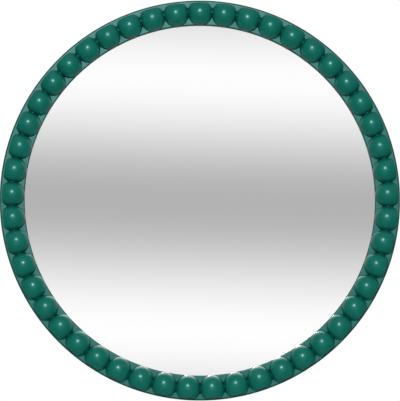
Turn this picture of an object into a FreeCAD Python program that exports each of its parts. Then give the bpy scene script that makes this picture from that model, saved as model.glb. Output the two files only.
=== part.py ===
import FreeCAD, Part
import math
import os

# Round wall mirror with a frame of turned half-beads, in millimetres.
# The wall is the plane y = 0, the mirror faces -Y and +Z is up.
# The origin is the centre of the round frame on the wall.

# Frame rings, outside in
frame_diameter = 762.0
band_width = 47.5
face_ring_thick = 9.0
back_ring_thick = 12.0
rabbet_width = 10.0
outer_ease = 3.5
inner_ease = 2.0
rear_ease = 1.0

# Turned half-beads, glued side by side on the face ring
bead_count = 49
bead_diameter = 48.4
collar_diameter = 19.0
bead_outer_margin = 4.8

# Dowels that locate the beads
dowel_diameter = 8.0
dowel_depth_in_bead = 10.0
dowel_depth_in_ring = 6.0
dowel_play = 0.05

# Glass and what holds it
glass_thick = 4.0
glass_edge_gap = 1.0
spacer_width = 15.0
board_thick = 3.0
board_inset = 7.0

# Screws with pan heads, all alike
screw_length = 12.7
screw_diameter = 3.5
screw_head_diameter = 7.0
screw_head_height = 2.2
screw_head_ease = 0.8
screw_slot_width = 1.0
screw_slot_length = 4.0
screw_slot_depth = 1.2
screw_play = 0.05
board_screw_count = 12

# Rubber bumpers that keep the frame off the wall
bumper_diameter = 22.0
bumper_thick = 6.0
bumper_ease = 1.5
bumper_angles = (45.0, 135.0, 225.0, 315.0)

# Ring hangers: a strap with a rolled eye, and a wire loop that swings in it
hanger_angles = (75.0, 285.0)
strap_width = 16.0
strap_length = 43.0
strap_thick = 1.2
strap_corner = 3.0
eye_play = 0.08
loop_wire_diameter = 3.0
loop_inner_width = 18.0
loop_straight = 4.0
loop_corner = 2.0
loop_strap_gap = 0.3

# Places of a strap's lower and upper screw, as shares of the length that the hanging loop leaves free
strap_screw_shares = (0.76, 0.28)

# Holes run this far past the ends of the dowels and screws in them
hole_end_gap = 0.3

# Cutting tools run this far past the faces that they cut
overrun = 2.0

# Places worked out from the sizes above
outer_r = frame_diameter / 2
inner_r = outer_r - band_width
rabbet_r = inner_r + rabbet_width
bead_r = bead_diameter / 2
bead_circle_r = inner_r + bead_r
board_rear_y = -bumper_thick
ring_rear_y = board_rear_y - board_thick
lip_rear_y = ring_rear_y - back_ring_thick
face_y = lip_rear_y - face_ring_thick
board_r = outer_r - board_inset
screw_circle_r = (rabbet_r + board_r) / 2
loop_half_width = (loop_inner_width + loop_wire_diameter) / 2
loop_reach = loop_corner + loop_straight + loop_half_width + loop_wire_diameter / 2

ORIGIN = FreeCAD.Vector(0, 0, 0)
ACROSS = FreeCAD.Vector(1, 0, 0)
REARWARD = FreeCAD.Vector(0, 1, 0)
FORWARD = FreeCAD.Vector(0, -1, 0)


def polar(radius, y, degrees):
    """Point at a radius from the mirror's axis, clockwise from the top."""
    angle = math.radians(degrees)
    return FreeCAD.Vector(radius * math.sin(angle), y, radius * math.cos(angle))


def turned(shape, degrees):
    """Copy of a shape, turned clockwise round the mirror's axis."""
    return shape.rotated(ORIGIN, REARWARD, degrees)


def disc(radius, rear_y, thick):
    """Disc that reaches forward from rear_y."""
    return Part.makeCylinder(radius, thick, FreeCAD.Vector(0, rear_y, 0), FORWARD)


def ring(inner_radius, outer_radius, rear_y, thick):
    """Flat ring that reaches forward from rear_y."""
    hole = disc(inner_radius, rear_y + overrun, thick + 2 * overrun)
    return disc(outer_radius, rear_y, thick).cut(hole)


def peg(radius, point, length):
    """Round peg, or the drill for a hole, that reaches forward from a point."""
    return Part.makeCylinder(radius, length, point, FORWARD)


def circles(shape, radius, y):
    """Circular edges of a shape about the mirror's axis, of one radius and at one y."""
    found = []
    for edge in shape.Edges:
        curve = edge.Curve
        if not isinstance(curve, Part.Circle):
            continue
        if math.isclose(curve.Radius, radius) and math.isclose(curve.Center.y, y):
            found.append(edge)
    return found


def face_ring():
    """Front ring with eased edges and a blind hole for each bead's dowel."""
    body = ring(inner_r, outer_r, lip_rear_y, face_ring_thick)
    body = body.makeFillet(outer_ease, circles(body, outer_r, face_y))
    body = body.makeFillet(inner_ease, circles(body, inner_r, face_y))
    for hole in dowel_holes():
        body = body.cut(hole)
    return body


def dowel_holes():
    """Drills for the holes in the face ring, which also pass into the beads."""
    start = polar(bead_circle_r, face_y + dowel_depth_in_ring, 0)
    drill = peg(dowel_diameter / 2 + dowel_play, start, dowel_depth_in_ring + dowel_depth_in_bead)
    return [turned(drill, bead_angle(index)) for index in range(bead_count)]


def bead_angle(index):
    """Angle of one bead, clockwise from the top bead."""
    return 360.0 * index / bead_count


def bead_sector():
    """Wedge from the mirror's axis out to the trim line, between a bead's two mitres."""
    half = bead_angle(1) / 2
    outer = outer_r - bead_outer_margin
    apex = polar(0, face_y, 0)
    outline = [
        Part.Arc(polar(outer, face_y, -half), polar(outer, face_y, 0), polar(outer, face_y, half)),
        Part.LineSegment(polar(outer, face_y, half), apex),
        Part.LineSegment(apex, polar(outer, face_y, -half)),
    ]
    wire = Part.Wire([piece.toShape() for piece in outline])
    return Part.Face(wire).extrude(FORWARD * bead_diameter)


def bead():
    """Top bead: a ball on a collar, sawn in half, mitred at its ends and trimmed on its outer side."""
    centre = polar(bead_circle_r, face_y, 0)
    reach = outer_r * math.tan(math.radians(bead_angle(1) / 2))
    collar_start = centre - ACROSS * reach
    ball = Part.makeSphere(bead_r, centre, ACROSS)
    collar = Part.makeCylinder(collar_diameter / 2, 2 * reach, collar_start, ACROSS)
    body = ball.fuse(collar).common(bead_sector())
    return body.cut(dowel_holes()[0])


def bead_dowel():
    """Dowel of the top bead, a little short of the bottoms of its two holes."""
    start = polar(bead_circle_r, face_y + dowel_depth_in_ring - hole_end_gap, 0)
    length = dowel_depth_in_ring + dowel_depth_in_bead - 2 * hole_end_gap
    return peg(dowel_diameter / 2, start, length)


def back_ring():
    """Rear ring, whose larger hole leaves a rabbet for the glass."""
    body = ring(rabbet_r, outer_r, ring_rear_y, back_ring_thick)
    body = body.makeFillet(rear_ease, circles(body, outer_r, ring_rear_y))
    for drill in screw_holes():
        body = body.cut(drill)
    return body


def mirror_glass():
    """Silvered glass, seated against the face ring's lip."""
    return disc(rabbet_r - glass_edge_gap, lip_rear_y + glass_thick, glass_thick)


def glass_spacer():
    """Foam ring that fills the rabbet between the glass and the board."""
    outer = rabbet_r - glass_edge_gap
    return ring(outer - spacer_width, outer, ring_rear_y, back_ring_thick - glass_thick)


def backing_board():
    """Thin board, screwed on the back ring."""
    body = disc(board_r, board_rear_y, board_thick)
    for drill in screw_holes():
        body = body.cut(drill)
    return body


def board_screw_seats():
    """Points on the board's rear face where its own screws go in."""
    step = 360.0 / board_screw_count
    return [polar(screw_circle_r, board_rear_y, step * index) for index in range(board_screw_count)]


def hanger_eye(angle):
    """Axis point of one hanger's eye. The strap is centred on the screw circle."""
    middle = polar(screw_circle_r, board_rear_y, angle)
    height = strap_thick + loop_strap_gap + loop_wire_diameter / 2
    return middle + FreeCAD.Vector(0, height, strap_length / 2)


def strap_screw_seats(angle):
    """Points on the rear face of one strap where its screws go in, below the hanging loop."""
    eye = hanger_eye(angle)
    seat_y = board_rear_y + strap_thick
    loop_end = eye.z - loop_reach
    free = strap_length - loop_reach
    return [FreeCAD.Vector(eye.x, seat_y, loop_end - share * free) for share in strap_screw_shares]


def screw_seats():
    """Every point where a screw's head sits."""
    seats = board_screw_seats()
    for angle in hanger_angles:
        seats += strap_screw_seats(angle)
    return seats


def screw_holes():
    """Drills for the screws, a little wider and longer than the screws."""
    radius = screw_diameter / 2 + screw_play
    return [peg(radius, seat, screw_length + hole_end_gap) for seat in screw_seats()]


def screw(seat):
    """Screw with a pan head and a crossed slot."""
    top = seat + REARWARD * screw_head_height
    head = peg(screw_head_diameter / 2, top, screw_head_height)
    rim = [edge for edge in head.Edges if math.isclose(edge.CenterOfMass.y, top.y)]
    head = head.makeFillet(screw_head_ease, rim)
    body = head.fuse(peg(screw_diameter / 2, seat, screw_length))
    for width, height in ((screw_slot_width, screw_slot_length), (screw_slot_length, screw_slot_width)):
        corner = top + FreeCAD.Vector(-width / 2, -screw_slot_depth, -height / 2)
        body = body.cut(Part.makeBox(width, screw_slot_depth + overrun, height, corner))
    return body


def bumper(angle):
    """Rubber disc with a rounded rear rim, stuck on the board."""
    body = peg(bumper_diameter / 2, polar(screw_circle_r, 0, angle), bumper_thick)
    rim = [edge for edge in body.Edges if isinstance(edge.Curve, Part.Circle)]
    rear = [edge for edge in rim if math.isclose(edge.Curve.Center.y, 0, abs_tol=bumper_ease / 2)]
    return body.makeFillet(bumper_ease, rear)


def strap(angle):
    """Flat strap with a rolled eye at its upper end and two screw holes."""
    eye = hanger_eye(angle)
    bore_r = loop_wire_diameter / 2 + eye_play
    plate_corner = FreeCAD.Vector(eye.x - strap_width / 2, board_rear_y, eye.z - strap_length)
    plate = Part.makeBox(strap_width, strap_thick, strap_length, plate_corner)
    tail = [edge for edge in plate.Edges
            if math.isclose(edge.CenterOfMass.z, plate_corner.z) and edge.Length < strap_width / 2]
    plate = plate.makeFillet(strap_corner, tail)
    start = eye - ACROSS * strap_width / 2
    barrel = Part.makeCylinder(bore_r + strap_thick, strap_width, start, ACROSS)
    body = plate.fuse(barrel)
    body = body.cut(Part.makeCylinder(bore_r, strap_width + 2 * overrun, start - ACROSS * overrun, ACROSS))
    for drill in screw_holes():
        body = body.cut(drill)
    return body


def hanger_loop(angle):
    """D-shaped wire loop, hanging from its straight bar in the strap's eye."""
    eye = hanger_eye(angle)
    wide = loop_half_width
    low = loop_corner + loop_straight

    def at(x, drop):
        return FreeCAD.Vector(eye.x + x, eye.y, eye.z - drop)

    bend = loop_corner * (1 - math.sqrt(1 / 2))
    pieces = [
        Part.LineSegment(at(loop_corner - wide, 0), at(wide - loop_corner, 0)),
        Part.Arc(at(wide - loop_corner, 0), at(wide - bend, bend), at(wide, loop_corner)),
        Part.LineSegment(at(wide, loop_corner), at(wide, low)),
        Part.Arc(at(wide, low), at(0, low + wide), at(-wide, low)),
        Part.LineSegment(at(-wide, low), at(-wide, loop_corner)),
        Part.Arc(at(-wide, loop_corner), at(bend - wide, bend), at(loop_corner - wide, 0)),
    ]
    path = Part.Wire([piece.toShape() for piece in pieces])
    section = Part.Wire([Part.makeCircle(loop_wire_diameter / 2, at(loop_corner - wide, 0), ACROSS)])
    return path.makePipeShell([section], True, True)


def save(name, *solids):
    """Write one piece, or a group of like pieces, as one node."""
    shape = solids[0] if len(solids) == 1 else Part.makeCompound(list(solids))
    shape.exportStep("parts/%s.step" % name)


def main():
    os.makedirs("parts", exist_ok=True)
    save("face_ring", face_ring())
    save("back_ring", back_ring())
    top_bead = bead()
    for index in range(bead_count):
        save("bead_%02d" % (index + 1), turned(top_bead, bead_angle(index)))
    save("bead_dowels", *[turned(bead_dowel(), bead_angle(index)) for index in range(bead_count)])
    save("mirror_glass", mirror_glass())
    save("glass_spacer", glass_spacer())
    save("backing_board", backing_board())
    save("screws", *[screw(seat) for seat in screw_seats()])
    save("wall_bumpers", *[bumper(angle) for angle in bumper_angles])
    save("hanger_straps", *[strap(angle) for angle in hanger_angles])
    right, left = hanger_angles
    save("hanger_loop_right", hanger_loop(right))
    save("hanger_loop_left", hanger_loop(left))


main()
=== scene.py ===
import math

import bmesh
import bpy
import numpy as np
from bpy.props import FloatProperty, FloatVectorProperty, IntProperty, PointerProperty
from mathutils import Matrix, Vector


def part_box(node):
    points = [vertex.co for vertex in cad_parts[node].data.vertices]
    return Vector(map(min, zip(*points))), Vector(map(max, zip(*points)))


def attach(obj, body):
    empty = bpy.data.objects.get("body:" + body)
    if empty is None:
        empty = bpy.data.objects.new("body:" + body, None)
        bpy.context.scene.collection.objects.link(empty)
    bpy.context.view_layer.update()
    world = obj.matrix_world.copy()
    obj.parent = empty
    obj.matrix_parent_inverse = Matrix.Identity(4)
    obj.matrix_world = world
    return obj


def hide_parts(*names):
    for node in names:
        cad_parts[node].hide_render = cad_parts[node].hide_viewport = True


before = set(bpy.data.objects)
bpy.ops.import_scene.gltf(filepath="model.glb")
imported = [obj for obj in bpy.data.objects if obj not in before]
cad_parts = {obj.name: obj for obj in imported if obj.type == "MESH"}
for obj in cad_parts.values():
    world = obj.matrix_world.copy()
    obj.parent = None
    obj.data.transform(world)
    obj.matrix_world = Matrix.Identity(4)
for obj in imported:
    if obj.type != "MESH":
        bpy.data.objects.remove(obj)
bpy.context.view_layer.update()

bl_info = {
    "name": "Beaded Round Wall Mirror",
    "version": (1, 0, 0),
    "blender": (4, 5, 0),
    "location": "View3D > Sidebar > Wall Mirror",
    "description": "Finishes a round wall mirror whose lacquered frame is set with turned half-beads",
    "category": "Object",
}

# The mirror faces -Y and +Z is up. The mirror's axis is the Y axis. Lengths are metres.
BEAD_NODES = sorted(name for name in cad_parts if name.startswith("bead_") and name[5:].isdigit())
MICRON = 1e-6
MILLIMETRE = 1e-3
SMOOTH_UP_TO = math.radians(40)


def measured(node, end, axis):
    """One coordinate of a node's box, to a tenth of a millimetre. End 0 is the low one."""
    return round(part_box(node)[end][axis], 4)


OUTER_RADIUS = -measured("face_ring", 0, 2)
FACE_Y = measured("face_ring", 0, 1)
LIP_Y = measured("face_ring", 1, 1)
RING_REAR_Y = measured("back_ring", 1, 1)
BEAD_INNER_RADIUS = measured("bead_01", 0, 2)
BEAD_TRIM_RADIUS = measured("bead_01", 1, 2)
BALL_RADIUS = FACE_Y - measured("bead_01", 0, 1)
GLASS_RADIUS = -measured("mirror_glass", 0, 2)
GLASS_REAR_Y = measured("mirror_glass", 1, 1)


def paint(red, green, blue):
    """Colour of 0 to 255 per channel, as on a paint card, taken through the sRGB curve to linear values."""
    share = np.array((red, green, blue)) / 255
    return tuple(np.where(share <= 0.04045, share / 12.92, ((share + 0.055) / 1.055) ** 2.4).tolist())


def length(label, description, default, **limits):
    """Property that holds a length."""
    return FloatProperty(
        name=label, description=description, default=default, precision=5, unit="LENGTH", **limits
    )


def plain(label, description, default):
    """Property that holds a plain number."""
    return FloatProperty(name=label, description=description, default=default, precision=3)


def colour(label, description, default):
    """Property that holds a colour."""
    return FloatVectorProperty(
        name=label, description=description, default=default, size=3, min=0, max=1, subtype="COLOR"
    )


class BeadSettings(bpy.types.PropertyGroup):
    """Sizes of the turned half-beads"""

    ball_radius: length("Ball radius", "Radius of the ball that each bead is turned to", BALL_RADIUS)
    circle_radius: length("Circle radius", "From the axis to the balls", BEAD_INNER_RADIUS + BALL_RADIUS)
    trim_radius: length("Trim radius", "Where the beads' outer side is trimmed", BEAD_TRIM_RADIUS)
    collar_radius: length("Collar radius", "Radius of the collar between two balls", 9.5 * MILLIMETRE)
    cove: length("Cove", "Blend between ball and collar", 1.2 * MILLIMETRE)
    trim_ease: length("Trim ease", "Rounding of the trimmed side's edge", 1.4 * MILLIMETRE)
    # How far the painted shade reaches out of a groove and up from the ring's face.
    shade_reach: length("Shade reach", "How far the deeper colour reaches out of a groove", 2.6 * MILLIMETRE)
    columns: IntProperty(name="Columns", description="Faces along a bead", default=72, min=8)
    wall_rows: IntProperty(name="Wall rows", description="Faces up the trimmed side", default=14, min=4)
    ball_rows: IntProperty(name="Ball rows", description="Faces round the ball", default=48, min=8)


class RingSettings(bpy.types.PropertyGroup):
    """Sizes of the two flat rings"""

    outer_radius: length("Outer radius", "Outer radius of both rings", OUTER_RADIUS)
    inner_radius: length("Inner radius", "Radius of the opening in front of the glass", BEAD_INNER_RADIUS)
    rabbet_gap: length("Rabbet gap", "Gap between the glass and the back ring", 1.0 * MILLIMETRE)
    outer_ease: length("Outer ease", "Rounding of the front outer edge", 3.5 * MILLIMETRE)
    inner_ease: length("Inner ease", "Rounding of the front inner edge", 2.0 * MILLIMETRE)
    rear_ease: length("Rear ease", "Rounding of the rear outer edge", 1.0 * MILLIMETRE)
    seam_ease: length("Seam ease", "Rounding where the two rings meet", 0.35 * MILLIMETRE)
    steps: IntProperty(name="Steps", description="Faces round each eased edge", default=8, min=2)
    turns: IntProperty(name="Turns", description="Faces round a whole ring", default=588, min=48)


class GlassSettings(bpy.types.PropertyGroup):
    """Sizes of the mirror glass"""

    radius: length("Radius", "Radius of the glass", GLASS_RADIUS)
    edge_ease: length("Edge ease", "Rounding of the ground edge", 0.6 * MILLIMETRE)
    steps: IntProperty(name="Steps", description="Faces round each edge", default=6, min=2)
    turns: IntProperty(name="Turns", description="Faces round the glass", default=588, min=48)


class FinishSettings(bpy.types.PropertyGroup):
    """Colours of the finishes"""

    lacquer: colour("Lacquer", "Green lacquer", paint(5, 98, 85))
    lacquer_dark: colour("Dark lacquer", "Darker mottling of the lacquer", paint(3, 91, 78))
    # Painted shade: the lacquer's colour where shade falls, in the grooves, at the beads' bases and along the
    # rings' rims.
    lacquer_painted_shade: colour("Lacquer, painted shade", "Lacquer in the grooves and along the edges", paint(2, 50, 43))
    lacquer_gloss: colour("Lacquer gloss", "Cool tint of the lacquer's gloss", (0.55, 0.93, 1.0))
    silver: colour("Silver", "Silvering behind the glass", (0.94, 0.94, 0.94))
    glass_edge: colour("Glass edge", "Ground edge of the glass", paint(134, 176, 160))
    mirror_paint: colour("Mirror paint", "Paint on the back of the silvering", paint(140, 143, 146))
    board_light: colour("Board, light", "Light fibres of the board", paint(146, 112, 80))
    board_dark: colour("Board, dark", "Dark fibres of the board", paint(104, 74, 50))
    nickel: colour("Nickel", "Nickel plating", (0.62, 0.59, 0.54))
    rubber: colour("Rubber", "Rubber of the bumpers", paint(38, 38, 39))
    foam: colour("Foam", "Foam of the spacer", paint(52, 52, 54))
    beech: colour("Beech", "Wood of the dowels", paint(206, 172, 128))
    floor_light: colour("Floor, light", "Light patches of the floor", (0.84, 0.84, 0.83))
    floor_dark: colour("Floor, dark", "Dark patches of the floor", (0.80, 0.80, 0.79))


class StageSettings(bpy.types.PropertyGroup):
    """Camera, lights and floor"""

    camera_distance: length("Camera distance", "From the ring's face to the camera", 8.0)
    camera_drop: length("Camera drop", "How far the camera is below the centre", 0.4)
    camera_side: length("Camera side", "How far the camera is left of the centre", 0.16)
    view_height: length("View height", "Height of the view at the ring's face", 0.7626)
    aim_side: length("Aim, side", "Where the camera aims in the ring's face, across", -0.2 * MILLIMETRE)
    aim_height: length("Aim, height", "Where the camera aims in the ring's face, up", -0.9 * MILLIMETRE)
    floor_drop: length("Floor drop", "From the mirror's centre down to the floor", 1.2)
    floor_radius: length("Floor radius", "Radius at which the floor has faded out", 4.0)
    floor_solid_radius: length("Solid floor radius", "Radius up to which the floor is solid", 1.5)
    key_side: length("Key, side", "Place of the key light across", -0.5)
    key_distance: length("Key, distance", "Place of the key light in front", 7.0)
    key_height: length("Key, height", "Place of the key light above", 2.36)
    key_size: length("Key size", "Diameter of the key light", 1.0)
    key_power: plain("Key power", "Watts of the key light", 340.0)
    rear_distance: length("Rear light, distance", "Place of the rear light behind", 4.0)
    rear_height: length("Rear light, height", "Place of the rear light above", 2.0)
    rear_size: length("Rear light size", "Diameter of the rear light", 2.0)
    rear_power: plain("Rear power", "Watts of the rear light", 130.0)


class RoomSettings(bpy.types.PropertyGroup):
    """Walls and window that the glass and the gloss show"""

    stripe_lean: plain("Stripe lean", "How much the grey stripe leans to one side", 0.027)
    stripe_low: plain("Stripe, low end", "Rise of a ray at which the stripe's levels start", -0.081)
    stripe_high: plain("Stripe, high end", "Rise of a ray at which the stripe's levels end", 0.419)
    window_across: plain("Window, across", "Direction of the round window, across", 0.0)
    window_ahead: plain("Window, ahead", "Direction of the round window, ahead", 0.7)
    window_up: plain("Window, up", "Direction of the round window, up", 0.7)
    window_dark_at: plain("Window, dark at", "Nearness to the window's direction where it is dark", 0.82)
    window_full_at: plain("Window, full at", "Nearness to the window's direction where it is bright", 0.94)
    window_strength: plain("Window strength", "Brightness of the window, where 1 is white", 3.4)
    wall_level: plain("Wall level", "Grey level of the walls ahead and behind, for satin gloss", 0.6)


def group(kind):
    """Settings of one group on the scene."""
    return getattr(bpy.context.scene, "wall_mirror_" + kind)


# Shapes


def softer_max(first, second, blend):
    """Larger of two arrays, a and b, with the crease between them filled over a blend length.

    Where they differ by less than the blend, it adds (blend - |a - b|)^2 / (4 blend).
    """
    near = np.maximum(blend - np.abs(first - second), 0) / blend
    return np.maximum(first, second) + near**2 * blend / 4


def softer_min(first, second, blend):
    """Smaller of two arrays, with the edge between them rounded over a blend length."""
    return -softer_max(-first, -second, blend)


def grid_quads(rows, columns, wrap_rows=False, wrap_columns=False):
    """Quads between the points of a grid, whose rows and columns may close on themselves."""
    row = np.arange(rows if wrap_rows else rows - 1)[:, None]
    column = np.arange(columns if wrap_columns else columns - 1)[None, :]
    next_row = (row + 1) % rows
    next_column = (column + 1) % columns
    corners = [
        row * columns + column,
        row * columns + next_column,
        next_row * columns + next_column,
        next_row * columns + column,
    ]
    return np.stack(corners, axis=-1).reshape(-1, 4)


def add_piece(name, points, faces, node, materials):
    """Closed mesh that stands for one node, smooth but for sharp edges, with its faces pointing outwards."""
    mesh = bpy.data.meshes.new(name)
    mesh.from_pydata(points.reshape(-1, 3).tolist(), [], faces)
    shell = bmesh.new()
    shell.from_mesh(mesh)
    bmesh.ops.recalc_face_normals(shell, faces=shell.faces)
    shell.to_mesh(mesh)
    shell.free()
    mesh.shade_smooth()
    mesh.set_sharp_from_angle(angle=SMOOTH_UP_TO)
    for material in materials:
        mesh.materials.append(material)
    piece = bpy.data.objects.new(name, mesh)
    bpy.context.scene.collection.objects.link(piece)
    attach(piece, "frame")
    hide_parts(node)
    return piece


def eased_outline(corners, hold, steps):
    """Outline with right-angled corners, each rounded by its own radius.

    Between its two tangent points a corner is corner + ease (a (1 - sin t) + b (1 - cos t)),
    where a and b point along its two sides and t goes from 0 to a quarter turn. A point a
    little before and after each rounding keeps the flats flat.
    """
    places = np.array([corner[:2] for corner in corners])
    eases = np.array([corner[2] for corner in corners])[:, None, None]
    back = np.roll(places, 1, axis=0) - places
    ahead = np.roll(places, -1, axis=0) - places
    back = (back / np.linalg.norm(back, axis=1)[:, None])[:, None, :]
    ahead = (ahead / np.linalg.norm(ahead, axis=1)[:, None])[:, None, :]
    turn = np.linspace(0, math.pi / 2, steps + 1)[None, :, None]
    arcs = places[:, None, :] + eases * (back * (1 - np.sin(turn)) + ahead * (1 - np.cos(turn)))
    before = places[:, None, :] + back * (eases + hold)
    after = places[:, None, :] + ahead * (eases + hold)
    return np.concatenate([before, arcs, after], axis=1).reshape(-1, 2)


def lathed(outline, turns):
    """Points (r sin t, y, r cos t) of an outline in radius r and depth y, at each angle t round the axis."""
    turn = np.linspace(0, 2 * math.pi, turns, endpoint=False)[:, None]
    radius = outline[None, :, 0]
    depth = np.broadcast_to(outline[None, :, 1], (turns, len(outline)))
    return np.stack([radius * np.sin(turn), depth, radius * np.cos(turn)], axis=-1)


def add_ring(name, corners, rings, material):
    """Ring whose section has eased corners, turned about the mirror's axis."""
    outline = eased_outline(corners, rings.seam_ease, rings.steps)
    points = lathed(outline, rings.turns)
    faces = grid_quads(rings.turns, len(outline), wrap_rows=True, wrap_columns=True).tolist()
    return add_piece(name, points, faces, name, [material])


def bead_rows(beads, radius):
    """Angle v of each row of a bead about its turning axis, from the outer side, 0, to the inner side, pi.

    On the trimmed side the rows end at the edge, where cos v = (trim - circle) / radius, and
    they crowd together on both sides of it.
    """
    shortest_wall, wall_crowding, ball_crowding = 0.12, 2, 1.5
    reach = (beads.trim_radius - beads.circle_radius) / radius
    edge = np.arccos(np.minimum(reach, math.cos(shortest_wall)))
    up_wall = 1 - (1 - np.linspace(0, 1, beads.wall_rows, endpoint=False)) ** wall_crowding
    round_ball = np.linspace(0, 1, beads.ball_rows + 1) ** ball_crowding
    return np.concatenate([edge * up_wall, edge + (math.pi - edge) * round_ball], axis=1)


def bead_grid(beads, count):
    """Front surface of the top bead, as columns along its turning axis and rows round it.

    About the axis, which lies in the ring's face, the bead's radius is the larger of a ball's,
    sqrt(ball^2 - x^2), and the collar's, blended by a cove. A point is
    (x, face - r sin v, circle + r cos v). The end columns lie on the mitres, x = z tan(pi / count).
    Beyond the trim line the distance from the mirror's axis is held to the trim radius.
    """
    slope = math.tan(math.pi / count)
    along = np.sin(np.linspace(-math.pi / 2, math.pi / 2, beads.columns + 1))[:, None]
    middle = along * beads.circle_radius * slope
    turn = bead_rows(beads, bead_radius(beads, middle))
    x = along * (beads.circle_radius + beads.collar_radius * np.cos(turn)) * slope
    radius = bead_radius(beads, x)
    y = FACE_Y - radius * np.sin(turn)
    z = beads.circle_radius + radius * np.cos(turn)
    z = np.where(np.abs(along) == 1, np.abs(x) / slope, z)
    reach = softer_min(np.hypot(x, z), np.full_like(x, beads.trim_radius), beads.trim_ease)
    return np.stack([x, y, np.sqrt(reach**2 - x**2)], axis=-1)


def bead_radius(beads, x):
    """Radius of a bead about its turning axis, a distance x along it."""
    ball = np.sqrt(np.maximum(beads.ball_radius**2 - x**2, 0))
    return softer_max(ball, np.full_like(x, beads.collar_radius), beads.cove)


def bead_painted_shade(beads, grid):
    """Share of painted shade, exp(-d / reach), 1 in the grooves and at the base, where shade falls, and
    falling to 0 away from them.

    The distance d is the smaller of that to the mitre, along the turning axis, and that to the ring's face.
    """
    groove = np.abs(grid[[0, -1], :, 0]).min(axis=0)[None, :] - np.abs(grid[:, :, 0])
    base = FACE_Y - grid[:, :, 1]
    return np.exp(-np.minimum(np.maximum(groove, 0), base) / beads.shade_reach)


def bead_faces(columns, rows):
    """Quads of the front surface, then the flat base and the two mitred ends."""
    near, far = np.arange(columns) * rows, np.arange(columns) * rows + rows - 1
    base = np.concatenate([near, far[::-1]]).tolist()
    first_end = np.arange(rows).tolist()
    last_end = (np.arange(rows) + (columns - 1) * rows).tolist()
    return grid_quads(columns, rows).tolist() + [base, first_end, last_end]


def turned(points, angle):
    """Points turned clockwise about the mirror's axis, as seen from the front."""
    x, y, z = np.moveaxis(points, -1, 0)
    cosine, sine = math.cos(angle), math.sin(angle)
    return np.stack([x * cosine + z * sine, y, z * cosine - x * sine], axis=-1)


def write_bead_maps(mesh, grid, depth):
    """UV map, with u in metres along the turning axis and v from 0 to 1 round it, and the share of painted
    shade.
    """
    columns, rows = depth.shape
    corner = np.zeros(len(mesh.loops), dtype=np.int32)
    mesh.loops.foreach_get("vertex_index", corner)
    u = grid[:, :, 0]
    v = np.broadcast_to(np.linspace(0, 1, rows)[None, :], (columns, rows))
    spread = np.stack([u, v], axis=-1).reshape(-1, 2)
    layer = mesh.uv_layers.new(name="turning")
    layer.data.foreach_set("uv", spread[corner].astype(np.float32).ravel())
    attribute = mesh.attributes.new("painted_groove_shade", "FLOAT", "POINT")
    attribute.data.foreach_set("value", depth.astype(np.float32).ravel())


# Finishes


def new_finish(name):
    """Material with its node tree, its surface shader, and the place on the object in metres."""
    material = bpy.data.materials.new(name)
    material.use_nodes = True
    tree = material.node_tree
    surface = tree.nodes["Principled BSDF"]
    place = tree.nodes.new("ShaderNodeTexCoord").outputs["Object"]
    return material, tree, surface, place


def add_node(tree, kind, links, **settings):
    """Node with named inputs linked or set, and its own properties set."""
    node = tree.nodes.new(kind)
    for key, value in settings.items():
        setattr(node, key, value)
    for key, value in links.items():
        if isinstance(value, bpy.types.NodeSocket):
            tree.links.new(value, node.inputs[key])
        else:
            node.inputs[key].default_value = value
    return node


def noise(tree, place, size, detail=2.0):
    """Noise whose blotches are about one size across, as a value about a half."""
    links = {"Vector": place, "Scale": 1 / size, "Detail": detail}
    return add_node(tree, "ShaderNodeTexNoise", links).outputs["Fac"]


def between(tree, value, low, high):
    """A noise's usual span, stretched to go from low to high."""
    usual_low, usual_high = 0.3, 0.7
    links = {"Value": value, "From Min": usual_low, "From Max": usual_high, "To Min": low, "To Max": high}
    return add_node(tree, "ShaderNodeMapRange", links).outputs["Result"]


def share_between(tree, value, low, high, **settings):
    """Share that is 0 at a low value and 1 at a high one, rising straight unless the settings say how."""
    links = {"Value": value, "From Min": low, "From Max": high}
    return add_node(tree, "ShaderNodeMapRange", links, **settings).outputs["Result"]


def larger(tree, first, second):
    """Larger of two values."""
    return add_node(tree, "ShaderNodeMath", {0: first, 1: second}, operation="MAXIMUM").outputs["Value"]


def distance_along(tree, place, axes):
    """Distance of a place from the origin, counting only the axes that have a 1 and not a 0."""
    flat = add_node(tree, "ShaderNodeVectorMath", {0: place, 1: axes}, operation="MULTIPLY").outputs["Vector"]
    return add_node(tree, "ShaderNodeVectorMath", {0: flat}, operation="LENGTH").outputs["Value"]


def blend_colours(tree, share, first, second):
    """Colour that goes from first to second as a share goes from 0 to 1. Either may be a socket."""
    mix = tree.nodes.new("ShaderNodeMixRGB")
    tree.links.new(share, mix.inputs["Fac"])
    for key, value in (("Color1", first), ("Color2", second)):
        if isinstance(value, bpy.types.NodeSocket):
            tree.links.new(value, mix.inputs[key])
        else:
            mix.inputs[key].default_value = (*value, 1)
    return mix.outputs["Color"]


def relief(tree, height, depth, under=None):
    """Normal of a surface whose height goes up and down by a depth in metres."""
    links = {"Height": height, "Distance": depth}
    if under is not None:
        links["Normal"] = under
    return add_node(tree, "ShaderNodeBump", links).outputs["Normal"]


def painted_rim_shade(tree, place):
    """Share of painted shade along the two dark rounded rims of a ring's face, falling to 0 at the inner ends
    of the easings.
    """
    rings = group("rings")
    full_shade, full_shade_from = 0.75, 0.25
    radius = distance_along(tree, place, (1, 0, 1))
    rims = []
    for rim, ease in ((rings.outer_radius, -rings.outer_ease), (rings.inner_radius, rings.inner_ease)):
        full = rim + ease * full_shade_from
        links = {"Value": radius, "From Min": rim + ease, "From Max": full, "To Max": full_shade}
        rims.append(add_node(tree, "ShaderNodeMapRange", links).outputs["Result"])
    return larger(tree, *rims)


def turning_marks(tree):
    """Height of the faint rings that turning leaves, which changes only along a bead's axis."""
    along = tree.nodes.new("ShaderNodeUVMap")
    along.uv_map = "turning"
    part = add_node(tree, "ShaderNodeSeparateXYZ", {"Vector": along.outputs["UV"]}).outputs["X"]
    links = {"W": part, "Scale": 1 / (1.1 * MILLIMETRE)}
    return add_node(tree, "ShaderNodeTexNoise", links, noise_dimensions="1D").outputs["Fac"]


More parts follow.
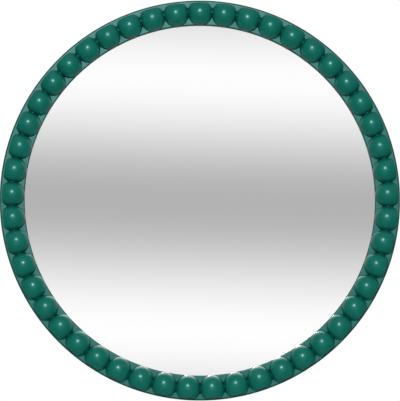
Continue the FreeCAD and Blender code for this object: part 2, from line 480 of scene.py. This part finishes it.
def lacquer(name, on_beads):
    """Satin green lacquer: faint mottling, a little orange peel, and on the beads faint turning marks.

    The flat rings are a little duller than the beads, and painted shade darkens the grooves, bead bases and
    rims.
    """
    finishes = group("finishes")
    material, tree, surface, place = new_finish(name)
    mottle = between(tree, noise(tree, place, size=14 * MILLIMETRE, detail=4), 0, 1)
    tone = blend_colours(tree, mottle, finishes.lacquer_dark, finishes.lacquer)
    wave = relief(tree, noise(tree, place, size=22 * MILLIMETRE, detail=1), 50 * MICRON)
    peel = relief(tree, noise(tree, place, size=1.6 * MILLIMETRE), 7 * MICRON, wave)
    if on_beads:
        depth = add_node(tree, "ShaderNodeAttribute", {}, attribute_name="painted_groove_shade").outputs["Fac"]
        peel = relief(tree, turning_marks(tree), 6 * MICRON, peel)
        smoothest, roughest = 0.26, 0.33
    else:
        depth = painted_rim_shade(tree, place)
        smoothest, roughest = 0.34, 0.42
    # Painted shade: the lacquer turns to its shade colour where shade falls, in the grooves, at the beads'
    # bases and along the rims.
    tone = blend_colours(tree, depth, tone, finishes.lacquer_painted_shade)
    tree.links.new(tone, surface.inputs["Base Color"])
    sheen = between(tree, noise(tree, place, size=9 * MILLIMETRE), smoothest, roughest)
    tree.links.new(sheen, surface.inputs["Roughness"])
    tree.links.new(peel, surface.inputs["Normal"])
    surface.inputs["Specular Tint"].default_value = (*finishes.lacquer_gloss, 1)
    return material


def silvering():
    """Silvered face of the glass, with the faint waviness of float glass."""
    material, tree, surface, place = new_finish("silvering")
    surface.inputs["Base Color"].default_value = (*group("finishes").silver, 1)
    surface.inputs["Metallic"].default_value = 1
    surface.inputs["Roughness"].default_value = 0
    wave = noise(tree, place, size=350 * MILLIMETRE, detail=0)
    tree.links.new(relief(tree, wave, 12 * MICRON), surface.inputs["Normal"])
    return material


def grained(name, tint, shades, grain, detail, dullness, depth, fine=None, stretch=None):
    """Finish of one tint with one grain.

    Shades are shares of the tint, and dullness is the roughness, each at the grain's low and high end.
    The grain stands up by a depth, unless a finer grain is given, which then does.
    """
    material, tree, surface, place = new_finish(name)
    if stretch:
        place = add_node(tree, "ShaderNodeMapping", {"Vector": place, "Scale": stretch}).outputs["Vector"]
    value = noise(tree, place, size=grain, detail=detail)
    low, high = (tuple(channel * shade for channel in tint) for shade in shades)
    tree.links.new(blend_colours(tree, between(tree, value, 0, 1), low, high), surface.inputs["Base Color"])
    tree.links.new(between(tree, value, *dullness), surface.inputs["Roughness"])
    height = noise(tree, place, size=fine, detail=3) if fine else value
    tree.links.new(relief(tree, height, depth), surface.inputs["Normal"])
    return material


def ground_glass():
    """Ground edge of the glass."""
    tint = group("finishes").glass_edge
    return grained("ground_glass_edge", tint, shades=(1, 1.25), grain=0.8 * MILLIMETRE, detail=3,
                   dullness=(0.3, 0.5), depth=20 * MICRON)


def backing_paint():
    """Grey paint on the back of the silvering."""
    tint = group("finishes").mirror_paint
    return grained("mirror_backing_paint", tint, shades=(0.86, 1), grain=12 * MILLIMETRE, detail=5,
                   dullness=(0.45, 0.6), depth=12 * MICRON, fine=2 * MILLIMETRE)


def nickel():
    """Nickel plating over pressed steel, with fine wear and dull patches."""
    tint = group("finishes").nickel
    material = grained("nickel_plate", tint, shades=(0.8, 1), grain=5 * MILLIMETRE, detail=5,
                       dullness=(0.38, 0.22), depth=8 * MICRON, fine=0.5 * MILLIMETRE)
    material.node_tree.nodes["Principled BSDF"].inputs["Metallic"].default_value = 1
    return material


def beech():
    """Beech with short flecks along the dowels."""
    tint = group("finishes").beech
    return grained("beech", tint, shades=(0.72, 1), grain=0.9 * MILLIMETRE, detail=4,
                   dullness=(0.5, 0.65), depth=30 * MICRON, stretch=(1, 0.15, 1))


def foam():
    """Closed-cell foam of the spacer."""
    tint = group("finishes").foam
    return grained("foam", tint, shades=(1, 1.5), grain=1.2 * MILLIMETRE, detail=4,
                   dullness=(0.85, 0.95), depth=150 * MICRON)


def bumper_rubber():
    """Moulded rubber of the bumpers."""
    tint = group("finishes").rubber
    return grained("bumper_rubber", tint, shades=(1, 1.5), grain=0.6 * MILLIMETRE, detail=4,
                   dullness=(0.5, 0.65), depth=15 * MICRON)


def hardboard():
    """Brown hardboard: short matted fibres over a cloudy tone."""
    finishes = group("finishes")
    material, tree, surface, place = new_finish("hardboard")
    cloud = between(tree, noise(tree, place, size=60 * MILLIMETRE, detail=3), 0, 1)
    fibre = noise(tree, place, size=1.3 * MILLIMETRE, detail=6)
    middle = tuple((light + dark) / 2 for light, dark in zip(finishes.board_light, finishes.board_dark))
    tone = blend_colours(tree, cloud, middle, finishes.board_light)
    dark_fibres = between(tree, fibre, 0.75, 0)
    tone = blend_colours(tree, dark_fibres, tone, finishes.board_dark)
    tree.links.new(tone, surface.inputs["Base Color"])
    tree.links.new(between(tree, fibre, 0.55, 0.75), surface.inputs["Roughness"])
    tree.links.new(relief(tree, fibre, 90 * MICRON), surface.inputs["Normal"])
    return material


def finish_nodes(material, *nodes):
    """Give one material to nodes that keep their shape."""
    for name in nodes:
        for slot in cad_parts[name].material_slots:
            slot.material = material


# Pieces


class WALLMIRROR_OT_face_ring(bpy.types.Operator):
    """Turn the front ring, whose flat face carries the beads"""

    bl_idname = "wall_mirror.face_ring"
    bl_label = "Face Ring"

    def execute(self, context):
        rings = group("rings")
        corners = [
            (rings.inner_radius, FACE_Y, rings.inner_ease),
            (rings.outer_radius, FACE_Y, rings.outer_ease),
            (rings.outer_radius, LIP_Y, rings.seam_ease),
            (rings.inner_radius, LIP_Y, rings.seam_ease),
        ]
        add_ring("face_ring", corners, rings, lacquer("lacquer_on_face_ring", on_beads=False))
        return {"FINISHED"}


class WALLMIRROR_OT_back_ring(bpy.types.Operator):
    """Turn the rear ring, which makes the rabbet for the glass"""

    bl_idname = "wall_mirror.back_ring"
    bl_label = "Back Ring"

    def execute(self, context):
        rings = group("rings")
        rabbet = group("glass").radius + rings.rabbet_gap
        corners = [
            (rabbet, LIP_Y, rings.seam_ease),
            (rings.outer_radius, LIP_Y, rings.seam_ease),
            (rings.outer_radius, RING_REAR_Y, rings.rear_ease),
            (rabbet, RING_REAR_Y, rings.seam_ease),
        ]
        add_ring("back_ring", corners, rings, lacquer("lacquer_on_back_ring", on_beads=False))
        return {"FINISHED"}


class WALLMIRROR_OT_beads(bpy.types.Operator):
    """Turn the half-beads and set them side by side round the ring"""

    bl_idname = "wall_mirror.beads"
    bl_label = "Beads"

    def execute(self, context):
        beads = group("beads")
        count = len(BEAD_NODES)
        grid = bead_grid(beads, count)
        # Share of painted shade, highest in the grooves and at the bases, where shade falls.
        depth = bead_painted_shade(beads, grid)
        faces = bead_faces(*depth.shape)
        material = lacquer("lacquer_on_beads", on_beads=True)
        for index, node in enumerate(BEAD_NODES):
            points = turned(grid, 2 * math.pi * index / count)
            piece = add_piece(node, points, faces, node, [material])
            write_bead_maps(piece.data, grid, depth)
        return {"FINISHED"}


class WALLMIRROR_OT_glass(bpy.types.Operator):
    """Cut the silvered glass, with a ground edge and a painted back"""

    bl_idname = "wall_mirror.glass"
    bl_label = "Mirror Glass"

    def execute(self, context):
        glass = group("glass")
        corners = [
            (0, LIP_Y, 0),
            (glass.radius, LIP_Y, glass.edge_ease),
            (glass.radius, GLASS_REAR_Y, glass.edge_ease),
            (0, GLASS_REAR_Y, 0),
        ]
        outline = eased_outline(corners, glass.edge_ease, glass.steps)
        near_edge = outline[:, 0] > glass.radius / 2
        outline = outline[near_edge]
        points = lathed(outline, glass.turns)
        columns = len(outline)
        around = np.arange(glass.turns) * columns
        faces = grid_quads(glass.turns, columns, wrap_rows=True).tolist()
        faces += [around.tolist(), (around + columns - 1).tolist()]
        materials = [silvering(), ground_glass(), backing_paint()]
        piece = add_piece("mirror_glass", points, faces, "mirror_glass", materials)
        front, edge, back = range(3)
        strips = np.full(columns - 1, edge)
        strips[0], strips[-1] = front, back
        kinds = np.concatenate([np.tile(strips, glass.turns), [front, back]]).astype(np.int32)
        piece.data.polygons.foreach_set("material_index", kinds)
        return {"FINISHED"}


class WALLMIRROR_OT_backing(bpy.types.Operator):
    """Finish the board, the foam spacer, the dowels and the bumpers"""

    bl_idname = "wall_mirror.backing"
    bl_label = "Backing"

    def execute(self, context):
        finish_nodes(hardboard(), "backing_board")
        finish_nodes(beech(), "bead_dowels")
        finish_nodes(foam(), "glass_spacer")
        finish_nodes(bumper_rubber(), "wall_bumpers")
        return {"FINISHED"}


class WALLMIRROR_OT_hardware(bpy.types.Operator):
    """Plate the screws, the hanger straps and their loops"""

    bl_idname = "wall_mirror.hardware"
    bl_label = "Hardware"

    def execute(self, context):
        finish_nodes(nickel(), "screws", "hanger_straps", "hanger_loop_right", "hanger_loop_left")
        return {"FINISHED"}


# Stage


# Grey levels along a ramp, as (position, level). The first two are its ends.
STRIPE = [(0.0, 0.3), (1.0, 0.9), (0.15, 0.6), (0.2, 1.055), (0.26, 0.48), (0.2645, 0.48), (0.3205, 1.045),
          (0.36, 0.73)]
DIM_WALLS = [(0.0, 0.02), (1.0, 0.22), (0.45, 0.03), (0.6, 0.1), (0.8, 0.18)]
SOFT_LIGHT = [(0.0, 0.12), (1.0, 0.85), (0.5, 0.48)]
WALL_AHEAD = [(0.02, 1.0), (0.1, 0.0)]
WALL_BEHIND = [(0.85, 0.0), (0.97, 1.0)]
WHITE = (1, 1, 1, 1)


def ramp(tree, value, stops, interpolation="LINEAR"):
    """Grey level that follows a value through stops, of which the first two are the ends."""
    node = tree.nodes.new("ShaderNodeValToRGB")
    node.color_ramp.interpolation = interpolation
    tree.links.new(value, node.inputs["Fac"])
    for index, (position, level) in enumerate(stops):
        elements = node.color_ramp.elements
        element = elements[index] if index < 2 else elements.new(position)
        element.position = position
        element.color = (level, level, level, 1)
    return node.outputs["Color"]


def satin_ray(tree):
    """1 for a ray that left a satin surface, 0 for one from a polished surface, the camera or a matt one."""
    ray = tree.nodes.new("ShaderNodeLightPath").outputs
    links = {0: ray["Is Glossy Ray"], 1: ray["Is Singular Ray"]}
    return add_node(tree, "ShaderNodeMath", links, operation="SUBTRACT", use_clamp=True).outputs["Value"]


def twice_turned_ray(tree):
    """1 for a ray that gloss or the mirror has turned more than once, 0 for any other."""
    turns = tree.nodes.new("ShaderNodeLightPath").outputs["Glossy Depth"]
    between_one_and_two = 1.5
    links = {0: turns, 1: between_one_and_two}
    return add_node(tree, "ShaderNodeMath", links, operation="GREATER_THAN").outputs["Value"]


def mixed(tree, share, first, second):
    """Shader that goes from first to second as a share goes from 0 to 1."""
    return add_node(tree, "ShaderNodeMixShader", {0: share, 1: first, 2: second}).outputs["Shader"]


def background(tree, level, strength=1):
    """Background shader of a colour, which may be a socket, and a strength."""
    links = {"Color": level, "Strength": strength}
    return add_node(tree, "ShaderNodeBackground", links).outputs["Background"]


def nearness(tree, direction, target):
    """How near a direction comes to a target's, as their dot product."""
    links = {0: direction, 1: target}
    return add_node(tree, "ShaderNodeVectorMath", links, operation="DOT_PRODUCT").outputs["Value"]


def seen_by_polish(tree, room, direction):
    """What polished glass and metal show: walls with one grey stripe, and a bright window high in front."""
    lean = nearness(tree, direction, (room.stripe_lean, 0, 1))
    stripe = ramp(tree, share_between(tree, lean, room.stripe_low, room.stripe_high), STRIPE, "EASE")
    toward = nearness(tree, direction, (room.window_across, -room.window_ahead, room.window_up))
    window = share_between(tree, toward, room.window_dark_at, room.window_full_at,
                           interpolation_type="SMOOTHSTEP")
    return mixed(tree, window, background(tree, stripe), background(tree, WHITE, room.window_strength))


def seen_by_satin(tree, room, rise, depth):
    """What satin gloss shows: dim walls, with a pale one ahead of the mirror and another behind it."""
    pale = (room.wall_level, room.wall_level, room.wall_level, 1)
    walls = mixed(tree, ramp(tree, depth, WALL_AHEAD), background(tree, ramp(tree, rise, DIM_WALLS)),
                  background(tree, pale))
    return mixed(tree, ramp(tree, depth, WALL_BEHIND), walls, background(tree, pale))


def add_studio_world(room):
    """White to the camera, even soft light for matt surfaces, and studio walls for gloss and polish."""
    world = bpy.data.worlds.new("studio")
    bpy.context.scene.world = world
    world.use_nodes = True
    tree = world.node_tree
    tree.nodes.clear()
    direction = tree.nodes.new("ShaderNodeTexCoord").outputs["Generated"]
    parts = add_node(tree, "ShaderNodeSeparateXYZ", {"Vector": direction}).outputs
    rise = share_between(tree, parts["Z"], -1, 1)
    depth = share_between(tree, parts["Y"], -1, 1)
    ray = tree.nodes.new("ShaderNodeLightPath").outputs
    soft = background(tree, ramp(tree, rise, SOFT_LIGHT))
    seen = mixed(tree, satin_ray(tree), soft, seen_by_satin(tree, room, rise, depth))
    polished = larger(tree, ray["Is Singular Ray"], ray["Is Transmission Ray"])
    seen = mixed(tree, polished, seen, seen_by_polish(tree, room, direction))
    seen = mixed(tree, ray["Is Camera Ray"], seen, background(tree, WHITE))
    add_node(tree, "ShaderNodeOutputWorld", {"Surface": seen})


def aimed(thing, place, target):
    """Put a camera or a light at a place, looking at a target."""
    thing.location = place
    thing.rotation_mode = "QUATERNION"
    thing.rotation_quaternion = (Vector(target) - Vector(place)).to_track_quat("-Z", "Y")
    bpy.context.scene.collection.objects.link(thing)


def add_camera(stage):
    """Camera a little below the centre and to its left, framing the mirror from edge to edge."""
    lens = bpy.data.cameras.new("camera")
    camera = bpy.data.objects.new("camera", lens)
    place = Vector((-stage.camera_side, FACE_Y - stage.camera_distance, -stage.camera_drop))
    target = Vector((stage.aim_side, FACE_Y, stage.aim_height))
    aimed(camera, place, target)
    lens.lens = lens.sensor_width * (target - place).length / stage.view_height
    bpy.context.scene.camera = camera


def add_light(name, place, size, power):
    """Round light aimed at the mirror's centre."""
    light = bpy.data.lights.new(name, "AREA")
    light.shape = "DISK"
    light.size = size
    light.energy = power
    lamp = bpy.data.objects.new(name, light)
    aimed(lamp, place, (0, 0, 0))
    return lamp


def add_lights(stage):
    """Key light high in front, for the highlight on each bead, and a soft light for the back.

    The soft one isn't mirrored in the gloss, so it stays off the beads' outline from the front.
    """
    key_place = (stage.key_side, -stage.key_distance, stage.key_height)
    add_light("key", key_place, stage.key_size, stage.key_power)
    rear_place = (0, stage.rear_distance, stage.rear_height)
    rear = add_light("rear", rear_place, stage.rear_size, stage.rear_power)
    rear.visible_glossy = False


def pale_floor(stage):
    """Pale screed that fades out towards the floor's rim.

    Rays from satin gloss, rays that have been turned more than once, and looks from below pass through it.
    """
    finishes = group("finishes")
    material, tree, surface, place = new_finish("pale_floor")
    screed = between(tree, noise(tree, place, size=600 * MILLIMETRE, detail=4), 0, 1)
    tone = blend_colours(tree, screed, finishes.floor_dark, finishes.floor_light)
    tree.links.new(tone, surface.inputs["Base Color"])
    surface.inputs["Roughness"].default_value = 0.7
    away = distance_along(tree, place, (1, 1, 0))
    fade = share_between(tree, away, stage.floor_solid_radius, stage.floor_radius,
                         interpolation_type="SMOOTHSTEP")
    below = tree.nodes.new("ShaderNodeNewGeometry").outputs["Backfacing"]
    for passing in (satin_ray(tree), twice_turned_ray(tree), below):
        fade = larger(tree, fade, passing)
    clear = tree.nodes.new("ShaderNodeBsdfTransparent").outputs["BSDF"]
    faded = mixed(tree, fade, surface.outputs["BSDF"], clear)
    tree.links.new(faded, tree.nodes["Material Output"].inputs["Surface"])
    return material


def add_floor(stage):
    """Round pale floor below the hanging mirror, of points (r cos t, r sin t, -drop) on circles."""
    spokes, circles = 96, 16
    turn = np.linspace(0, 2 * math.pi, spokes, endpoint=False)[:, None]
    radius = np.linspace(0, stage.floor_radius, circles + 1)[None, 1:]
    depth = np.full((spokes, circles), -stage.floor_drop)
    points = np.stack([radius * np.cos(turn), radius * np.sin(turn), depth], axis=-1)
    middle = (np.arange(spokes) * circles).tolist()
    faces = grid_quads(spokes, circles, wrap_rows=True).tolist() + [middle]
    mesh = bpy.data.meshes.new("floor")
    mesh.from_pydata(points.reshape(-1, 3).tolist(), [], faces)
    mesh.materials.append(pale_floor(stage))
    floor = bpy.data.objects.new("floor", mesh)
    bpy.context.scene.collection.objects.link(floor)


class WALLMIRROR_OT_stage(bpy.types.Operator):
    """Set up the camera, the lights and the floor"""

    bl_idname = "wall_mirror.stage"
    bl_label = "Stage"

    def execute(self, context):
        stage = group("stage")
        add_studio_world(group("room"))
        add_camera(stage)
        add_lights(stage)
        add_floor(stage)
        context.scene.view_settings.view_transform = "Standard"
        return {"FINISHED"}


SETTINGS = {
    "beads": BeadSettings,
    "rings": RingSettings,
    "glass": GlassSettings,
    "finishes": FinishSettings,
    "stage": StageSettings,
    "room": RoomSettings,
}
OPERATORS = [
    WALLMIRROR_OT_stage,
    WALLMIRROR_OT_face_ring,
    WALLMIRROR_OT_back_ring,
    WALLMIRROR_OT_beads,
    WALLMIRROR_OT_glass,
    WALLMIRROR_OT_backing,
    WALLMIRROR_OT_hardware,
]


class WALLMIRROR_PT_pieces(bpy.types.Panel):
    """Lists the steps that finish the mirror and their sizes"""

    bl_idname = "WALLMIRROR_PT_pieces"
    bl_label = "Wall Mirror"
    bl_space_type = "VIEW_3D"
    bl_region_type = "UI"
    bl_category = "Wall Mirror"

    def draw(self, context):
        for operator in OPERATORS:
            self.layout.operator(operator.bl_idname)
        for kind, settings in SETTINGS.items():
            box = self.layout.box()
            box.label(text=kind.capitalize())
            for name in settings.__annotations__:
                box.prop(group(kind), name)


CLASSES = [*SETTINGS.values(), *OPERATORS, WALLMIRROR_PT_pieces]


def register():
    for one in CLASSES:
        bpy.utils.register_class(one)
    for kind, settings in SETTINGS.items():
        setattr(bpy.types.Scene, "wall_mirror_" + kind, PointerProperty(type=settings))


def unregister():
    for kind in SETTINGS:
        delattr(bpy.types.Scene, "wall_mirror_" + kind)
    for one in reversed(CLASSES):
        bpy.utils.unregister_class(one)


def main():
    register()
    bpy.ops.wall_mirror.stage()
    bpy.ops.wall_mirror.face_ring()
    bpy.ops.wall_mirror.back_ring()
    bpy.ops.wall_mirror.beads()
    bpy.ops.wall_mirror.glass()
    bpy.ops.wall_mirror.backing()
    bpy.ops.wall_mirror.hardware()


if __name__ == "__main__":
    main()
